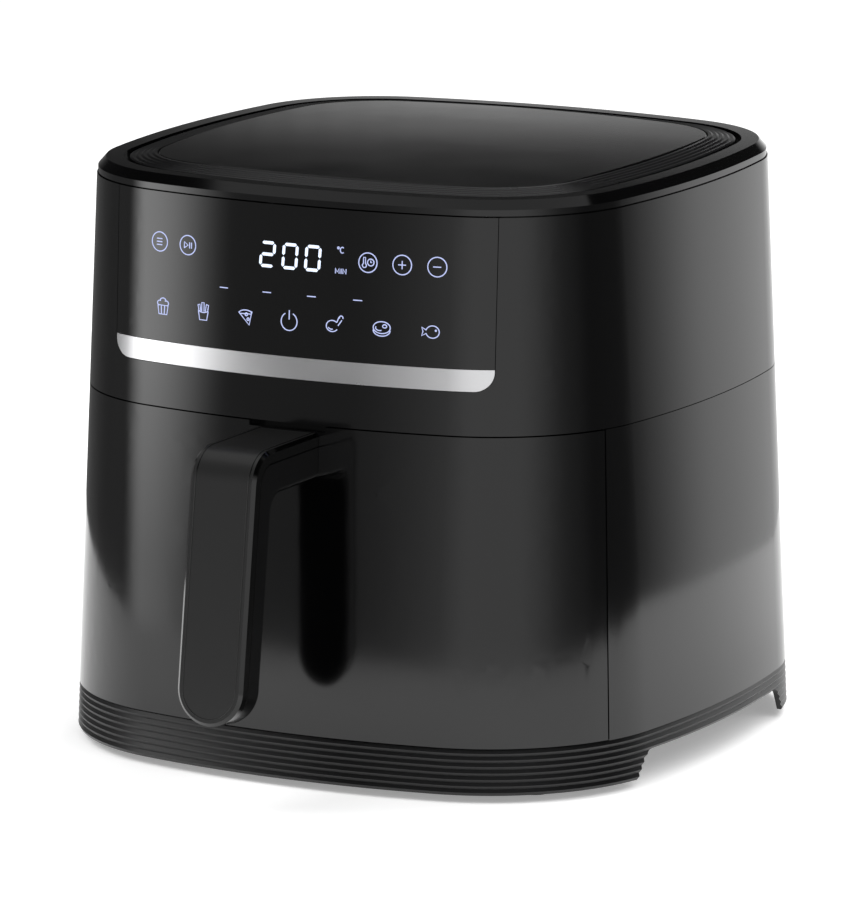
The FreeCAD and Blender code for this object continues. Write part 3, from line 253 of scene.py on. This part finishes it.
# Studio: a pale floor, soft light from above, and a ring of standing cards that only reflections see
FLOOR_HALF = 8.0
FLOOR_GLOW = 0.30
FLOOR_COLOUR = (0.86, 0.86, 0.86, 1)
WORLD_LEVEL = 0.55
SURROUND_RADIUS = 0.6
SURROUND_HEIGHTS = (0.0, 0.035, 0.155, 0.27, 0.40, 0.90)
SURROUND_STEPS = 180
SURROUND_FILL = 0.25
SURROUND_DARK = 0.08
UPPER_LEVEL = 0.02
LOW_ROWS = 2
SIDE_ROWS = 4

# Cards of the surround: azimuth, half width and fade in degrees, brightness, and that near the floor
strip_card = (-47, 0.5, 15, 3.6, 1.9)
front_card = (30.5, 10.5, 33, 0.82, 0.78)
dark_card = (99, 11, 17.5, -0.15, -0.15)
right_card = (172, 31, 23, 0.9, 0.8)
left_card = (-104, 19, 24, -0.10, -0.10)
cards = (strip_card, front_card, dark_card, right_card, left_card)


def level_at(azimuth, row):
    """Brightness of the surround in a direction, from its cards."""
    if row >= SIDE_ROWS:
        return UPPER_LEVEL
    level = SURROUND_FILL
    for middle, half, fade, bright, low in cards:
        away = abs((azimuth - middle + 180) % 360 - 180)
        share = min(max(1 - (away - half) / fade, 0), 1)
        level += (low if row < LOW_ROWS else bright) * share * share * (3 - 2 * share)
    return max(level, SURROUND_DARK)


def mesh_piece(name, points, faces, material):
    """New mesh object in the scene."""
    mesh = bpy.data.meshes.new(name)
    mesh.from_pydata([tuple(p) for p in points], [], faces)
    mesh.materials.append(material)
    piece = bpy.data.objects.new(name, mesh)
    bpy.context.scene.collection.objects.link(piece)
    return piece


def floor_material():
    material, tree, surface = shader("studio_floor")
    surface.inputs["Base Color"].default_value = FLOOR_COLOUR
    surface.inputs["Roughness"].default_value = 0.9
    surface.inputs["Specular IOR Level"].default_value = 0.0
    surface.inputs["Emission Color"].default_value = (1, 1, 1, 1)
    path = tree.nodes.new("ShaderNodeLightPath")
    mirrored = tree.nodes.new("ShaderNodeMath")
    mirrored.operation = "MAXIMUM"
    seen = tree.nodes.new("ShaderNodeMath")
    seen.operation = "MAXIMUM"
    glow = tree.nodes.new("ShaderNodeMath")
    glow.operation = "MULTIPLY"
    glow.inputs[1].default_value = FLOOR_GLOW
    tree.links.new(path.outputs["Is Camera Ray"], seen.inputs[0])
    tree.links.new(path.outputs["Is Glossy Ray"], mirrored.inputs[0])
    tree.links.new(path.outputs["Is Transmission Ray"], mirrored.inputs[1])
    tree.links.new(mirrored.outputs[0], seen.inputs[1])
    tree.links.new(seen.outputs[0], glow.inputs[0])
    tree.links.new(glow.outputs[0], surface.inputs["Emission Strength"])
    return material


def surround_material():
    material = bpy.data.materials.new("studio_surround")
    material.use_nodes = True
    tree = material.node_tree
    tree.nodes.clear()
    level = tree.nodes.new("ShaderNodeAttribute")
    level.attribute_name = "level"
    glow = tree.nodes.new("ShaderNodeEmission")
    out = tree.nodes.new("ShaderNodeOutputMaterial")
    tree.links.new(level.outputs["Fac"], glow.inputs["Strength"])
    tree.links.new(glow.outputs["Emission"], out.inputs["Surface"])
    return material


def surround():
    """Round wall of light and dark cards about the object."""
    heights = SURROUND_HEIGHTS
    points, values, faces = [], [], []
    for step in range(SURROUND_STEPS + 1):
        azimuth = step * 360 / SURROUND_STEPS - 180
        turn = math.radians(azimuth)
        for row, height in enumerate(heights):
            x, y = SURROUND_RADIUS * math.sin(turn), body_y - SURROUND_RADIUS * math.cos(turn)
            points.append((x, y, height))
            values.append(level_at(azimuth, row))
    for step in range(SURROUND_STEPS):
        for row in range(len(heights) - 1):
            a = step * len(heights) + row
            faces.append((a, a + len(heights), a + len(heights) + 1, a + 1))
    wall = mesh_piece("studio_surround", points, faces, surround_material())
    wall.data.attributes.new("level", "FLOAT", "POINT").data.foreach_set("value", values)
    wall.visible_camera = False
    wall.visible_diffuse = False
    wall.visible_shadow = False
    wall.visible_transmission = False
    return wall


def soft_light(name, place, size, power, mirrored=False):
    """Square soft light that faces the object, and that gloss may or may not mirror."""
    lamp = bpy.data.lights.new(name, "AREA")
    lamp.shape = "SQUARE"
    lamp.size = size
    lamp.energy = power
    light = bpy.data.objects.new(name, lamp)
    light.location = place
    light.rotation_euler = (target - light.location).to_track_quat("-Z", "Y").to_euler()
    light.visible_glossy = mirrored
    bpy.context.scene.collection.objects.link(light)


target = Vector((0, body_y, CAMERA_TARGET_HEIGHT))
edge = FLOOR_HALF
floor = mesh_piece("studio_floor", [(-edge, -edge, 0), (edge, -edge, 0), (edge, edge, 0), (-edge, edge, 0)],
                   [(0, 1, 2, 3)], floor_material())
surround()
soft_light("key_light", Vector((-1.2, -1.4, 2.2)), 1.6, 38)
soft_light("fill_light", Vector((1.5, -0.6, 2.0)), 1.8, 26)
soft_light("back_light", Vector((0.3, 1.6, 2.2)), 1.6, 34)
soft_light("glint_light", Vector((0.3, 1.6, 2.2)), 0.3, 2.0, mirrored=True)

world = bpy.data.worlds.new("studio")
world.use_nodes = True
world.node_tree.nodes["Background"].inputs["Color"].default_value = (1, 1, 1, 1)
world.node_tree.nodes["Background"].inputs["Strength"].default_value = WORLD_LEVEL
bpy.context.scene.world = world
bpy.context.scene.view_settings.view_transform = "Standard"

# Camera
reach = Vector((math.sin(CAMERA_AZIMUTH) * math.cos(CAMERA_ELEVATION),
                -math.cos(CAMERA_AZIMUTH) * math.cos(CAMERA_ELEVATION), math.sin(CAMERA_ELEVATION)))
lens = bpy.data.cameras.new("camera")
lens.sensor_fit = "VERTICAL"
lens.sensor_height = SENSOR_MM
lens.lens = LENS_MM
lens.shift_x, lens.shift_y = LENS_SHIFT
lens.clip_end = 100
camera = bpy.data.objects.new("camera", lens)
camera.location = target + reach * CAMERA_DISTANCE
camera.rotation_euler = (-reach).to_track_quat("-Z", "Y").to_euler()
bpy.context.scene.collection.objects.link(camera)
bpy.context.scene.camera = camera

# Lit signs of the touch panel: each is a set of strokes, in millimetres about its own middle
STROKE = 0.27 * MM
SIGN_SCALE = 0.86 * MM
SIGN_PROUD = 0.02 * MM
KEY_RING = 5.4
ARC_STEP = math.radians(15)
upper_row = 255.6
dash_row = 237.4
food_row = 224.8
LEFT_KEY = -74.6
LEFT_PITCH = 16.9
RIGHT_KEY = 40.8
RIGHT_PITCH = 17.2
FOOD_KEY = -72.0
FOOD_PITCH = 24.1
FIRST_DASH = -36.2
DASHES = 4
UNIT_PLACE = 27.0
UNIT_RISE = 5.0


def arc(x, z, across, up, start=0.0, sweep=360.0):
    """Points along an elliptic arc, angles in degrees from the right."""
    steps = max(3, round(math.radians(abs(sweep)) / ARC_STEP))
    turns = [math.radians(start + sweep * step / steps) for step in range(steps + 1)]
    return [(x + across * math.cos(turn), z + up * math.sin(turn)) for turn in turns]


def line(*places):
    return list(places)


def in_ring(*strokes):
    return [arc(0, 0, KEY_RING, KEY_RING), *strokes]


menu = in_ring(*[line((-2, z), (2, z)) for z in (-1.7, 0, 1.7)])
play = in_ring(line((-2.4, -1.7), (-2.4, 1.7), (0.2, 0), (-2.4, -1.7)), line((1.2, -1.7), (1.2, 1.7)),
               line((2.5, -1.7), (2.5, 1.7)))
heat_time = in_ring(arc(-2.0, -1.6, 1.2, 1.2, 60, -300),
                    line((-1.4, -0.6), (-1.4, 2.8), (-2.6, 2.8), (-2.6, -0.6)),
                    arc(1.7, 0.2, 1.9, 1.9), line((1.7, 1.3), (1.7, 0.2), (2.5, 0.2)))
plus = in_ring(line((-2.3, 0), (2.3, 0)), line((0, -2.3), (0, 2.3)))
minus = in_ring(line((-2.3, 0), (2.3, 0)))
dash = [line((-2.7, 0), (2.7, 0))]
power = [arc(0, -0.3, 5.0, 5.0, 118, 304), line((0, 0.8), (0, 6.0))]
cupcake = [line((-3.6, 0.4), (-2.8, -4.6), (2.8, -4.6), (3.6, 0.4), (-3.6, 0.4)),
           line((-1.2, 0.2), (-1.0, -4.4)), line((1.2, 0.2), (1.0, -4.4)),
           arc(-2.2, 1.6, 1.7, 1.4, 250, -190), arc(2.2, 1.6, 1.7, 1.4, 290, 190),
           arc(0, 2.7, 2.1, 1.8, 10, 160)]
fries = [line((-3.3, 0.2), (-2.4, -4.8), (2.4, -4.8), (3.3, 0.2)), arc(0, 1.3, 3.5, 1.9, 200, 140),
         line((-3.0, 0.8), (-3.7, 3.4), (-2.3, 3.8), (-1.7, 0.2)),
         line((-1.1, 0), (-1.1, 4.8), (0.5, 4.8), (0.5, 0)),
         line((1.4, 0), (2.0, 4.0), (3.5, 3.6), (3.0, 0.8))]
pizza = [line((-4.4, 2.2), (2.6, -4.6), (4.2, 3.2)), arc(0.2, 1.4, 4.5, 2.2, 20, 150),
         arc(0.6, 1.2, 0.8, 0.8),
         arc(1.8, -1.4, 0.7, 0.7), line((-3.2, 1.4), (3.6, 1.6))]
drumstick = [arc(-1.4, -0.6, 3.6, 3.1, 42, 286), line((1.3, 1.5), (2.6, 4.6)), line((2.1, -0.2), (4.4, 3.0)),
             arc(3.9, 4.2, 1.1, 1.1, 200, -220), arc(-1.9, -0.9, 1.9, 1.5, 200, 100)]
steak = [arc(0, 0.6, 5.0, 3.3), arc(1.7, 1.4, 1.2, 0.9), arc(0, -0.8, 5.0, 3.3, 180, 180),
         arc(-1.2, 0.4, 2.4, 1.5, 150, 150)]
fish = [arc(1.2, 0, 3.8, 3.4, 165, -330),
        line((-2.4, 0.9), (-5.0, 2.4), (-4.2, 0), (-5.0, -2.4), (-2.4, -0.9)),
        arc(3.0, 0.8, 0.35, 0.35)]
degrees = [arc(-1.7, 1.1, 0.5, 0.5), arc(0.7, 0, 1.2, 1.6, 45, 270)]
minutes = [line((-3.2, -1.4), (-3.2, 1.4), (-2.1, -0.6), (-1.0, 1.4), (-1.0, -1.4)),
           line((0.2, -1.4), (0.2, 1.4)),
           line((1.3, -1.4), (1.3, 1.4), (3.2, -1.4), (3.2, 1.4))]


def row(shapes, first, pitch, height):
    """Shapes set out along a row."""
    return [(shape, first + place * pitch, height) for place, shape in enumerate(shapes)]


food_shapes = (cupcake, fries, pizza, power, drumstick, steak, fish)
signs = row((menu, play), LEFT_KEY, LEFT_PITCH, upper_row)
signs += row((heat_time, plus, minus), RIGHT_KEY, RIGHT_PITCH, upper_row)
signs += row(food_shapes, FOOD_KEY, FOOD_PITCH, food_row)
signs += row((dash,) * DASHES, FIRST_DASH, FOOD_PITCH, dash_row)
signs += [(degrees, UNIT_PLACE, upper_row + UNIT_RISE), (minutes, UNIT_PLACE, upper_row - UNIT_RISE)]

# Seven-segment figures of the display, slanted a little
FIGURE_WIDTH = 8.6
FIGURE_HEIGHT = 12.6
FIGURE_PITCH = 12.2
FIGURE_SLANT = 0.06
FIGURE_PROUD = 0.12 * MM
SEGMENT = 1.5
SEGMENT_GAP = 0.3
figures_at = (0.1, 255.6)
lit_segments = {"2": "abged", "0": "abcdef"}
reading = "200"
FILM_SCALE = 600.0
FILM_UNEVEN = 0.08
FIGURE_LIGHT = ((0.72, 0.82, 1.0), 1.5)
SIGN_LIGHT = ((0.55, 0.62, 1.0), 1.0)


def glow(name, colour, strength):
    """Light shining through the panel, a little uneven like printed film."""
    material, tree, surface = shader(name)
    surface.inputs["Base Color"].default_value = (0.02, 0.02, 0.02, 1)
    surface.inputs["Emission Color"].default_value = (*colour, 1)
    film = texture(tree, FILM_SCALE)
    uneven = spread(tree, film, strength * (1 - FILM_UNEVEN), strength * (1 + FILM_UNEVEN))
    tree.links.new(uneven, surface.inputs["Emission Strength"])
    return material


def segment(first, last):
    """Six-cornered bar between two corners of a figure, in millimetres."""
    along = (Vector(last) - Vector(first)).normalized()
    side = Vector((-along.y, along.x)) * SEGMENT / 2
    start = Vector(first) + along * SEGMENT_GAP
    end = Vector(last) - along * SEGMENT_GAP
    step = along * SEGMENT / 2
    return [start, start + step + side, end - step + side, end, end - step - side, start + step - side]


def figure_segments(number):
    half = Vector(((FIGURE_WIDTH - SEGMENT) / 2, (FIGURE_HEIGHT - SEGMENT) / 2))
    left, right, top = -half.x, half.x, half.y
    ends = {"a": ((left, top), (right, top)), "b": ((right, top), (right, 0)),
            "c": ((right, 0), (right, -top)),
            "d": ((left, -top), (right, -top)), "e": ((left, 0), (left, -top)), "f": ((left, top), (left, 0)),
            "g": ((left, 0), (right, 0))}
    return [segment(*ends[name]) for name in lit_segments[number]]


def figures():
    points, faces = [], []
    for place, number in enumerate(reading):
        middle = figures_at[0] + (place - (len(reading) - 1) / 2) * FIGURE_PITCH
        for bar in figure_segments(number):
            faces.append(tuple(range(len(points), len(points) + len(bar))))
            for p in bar:
                x = middle + p.x + p.y * FIGURE_SLANT
                points.append(on_front(x * MM, (figures_at[1] + p.y) * MM, FIGURE_PROUD))
    return mesh_piece("display_figures", points, faces, glow("figure_glow", *FIGURE_LIGHT))


def panel_signs():
    curve = bpy.data.curves.new("panel_signs", "CURVE")
    curve.dimensions = "3D"
    curve.bevel_depth = STROKE
    curve.bevel_resolution = 1
    curve.materials.append(glow("sign_glow", *SIGN_LIGHT))
    for strokes, x, z in signs:
        for stroke in strokes:
            spline = curve.splines.new("POLY")
            spline.points.add(len(stroke) - 1)
            for point, (across, up) in zip(spline.points, stroke):
                place = on_front(x * MM + across * SIGN_SCALE, z * MM + up * SIGN_SCALE, SIGN_PROUD)
                point.co = (*place, 1)
    piece = bpy.data.objects.new("panel_signs", curve)
    bpy.context.scene.collection.objects.link(piece)
    return piece


for lit in (figures(), panel_signs()):
    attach(lit, "housing")

# Fine line let into the handle's plate, a step in from its bevel
handle_half_width = 17.5 * MM
handle_arm_top = 172.6 * MM
handle_reach = 211.4 * MM
handle_bend = 17.0 * MM
handle_bottom = 44.5 * MM
LINE_INSET = 3.4 * MM
LINE_RADIUS = 0.22 * MM
LINE_STEPS = 16


def grip_point(x, z):
    """Point on the front of the leaning grip."""
    y = -(handle_reach + (handle_arm_top - z) * math.tan(HANDLE_LEAN))
    return Vector((x, body_y + y, z))


def plate_line():
    """Line along the arm, over the bend, down the grip, round its end and back."""
    half = handle_half_width - LINE_INSET
    bend = grip_point(0, handle_arm_top - handle_bend) + Vector((0, handle_bend / math.cos(HANDLE_LEAN), 0))
    root = on_front(half, handle_arm_top)
    side = [Vector((0, root.y, handle_arm_top))]
    for step in range(LINE_STEPS + 1):
        turn = (math.pi / 2 - HANDLE_LEAN) * step / LINE_STEPS
        side.append(bend + Vector((0, -math.sin(turn), math.cos(turn))) * handle_bend)
    base = grip_point(0, handle_bottom + handle_half_width)
    down = Vector((0, -math.sin(HANDLE_LEAN), -math.cos(HANDLE_LEAN)))
    end = []
    for step in range(2 * LINE_STEPS + 1):
        turn = math.pi * step / (2 * LINE_STEPS)
        end.append(base + Vector((half * math.cos(turn), 0, 0)) + down * half * math.sin(turn))
    right = [point + Vector((half, 0, 0)) for point in side]
    left = [point - Vector((half, 0, 0)) for point in reversed(side)]
    return right + end + left


def tube(name, points, radius, material):
    """Round line through points."""
    curve = bpy.data.curves.new(name, "CURVE")
    curve.dimensions = "3D"
    curve.bevel_depth = radius
    curve.materials.append(material)
    spline = curve.splines.new("POLY")
    spline.points.add(len(points) - 1)
    for knot, point in zip(spline.points, points):
        knot.co = (*point, 1)
    piece = bpy.data.objects.new(name, curve)
    bpy.context.scene.collection.objects.link(piece)
    return piece


plate_edge = tube("handle_plate_line", plate_line(), LINE_RADIUS, finishes["handle_black"])
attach(plate_edge, "drawer")
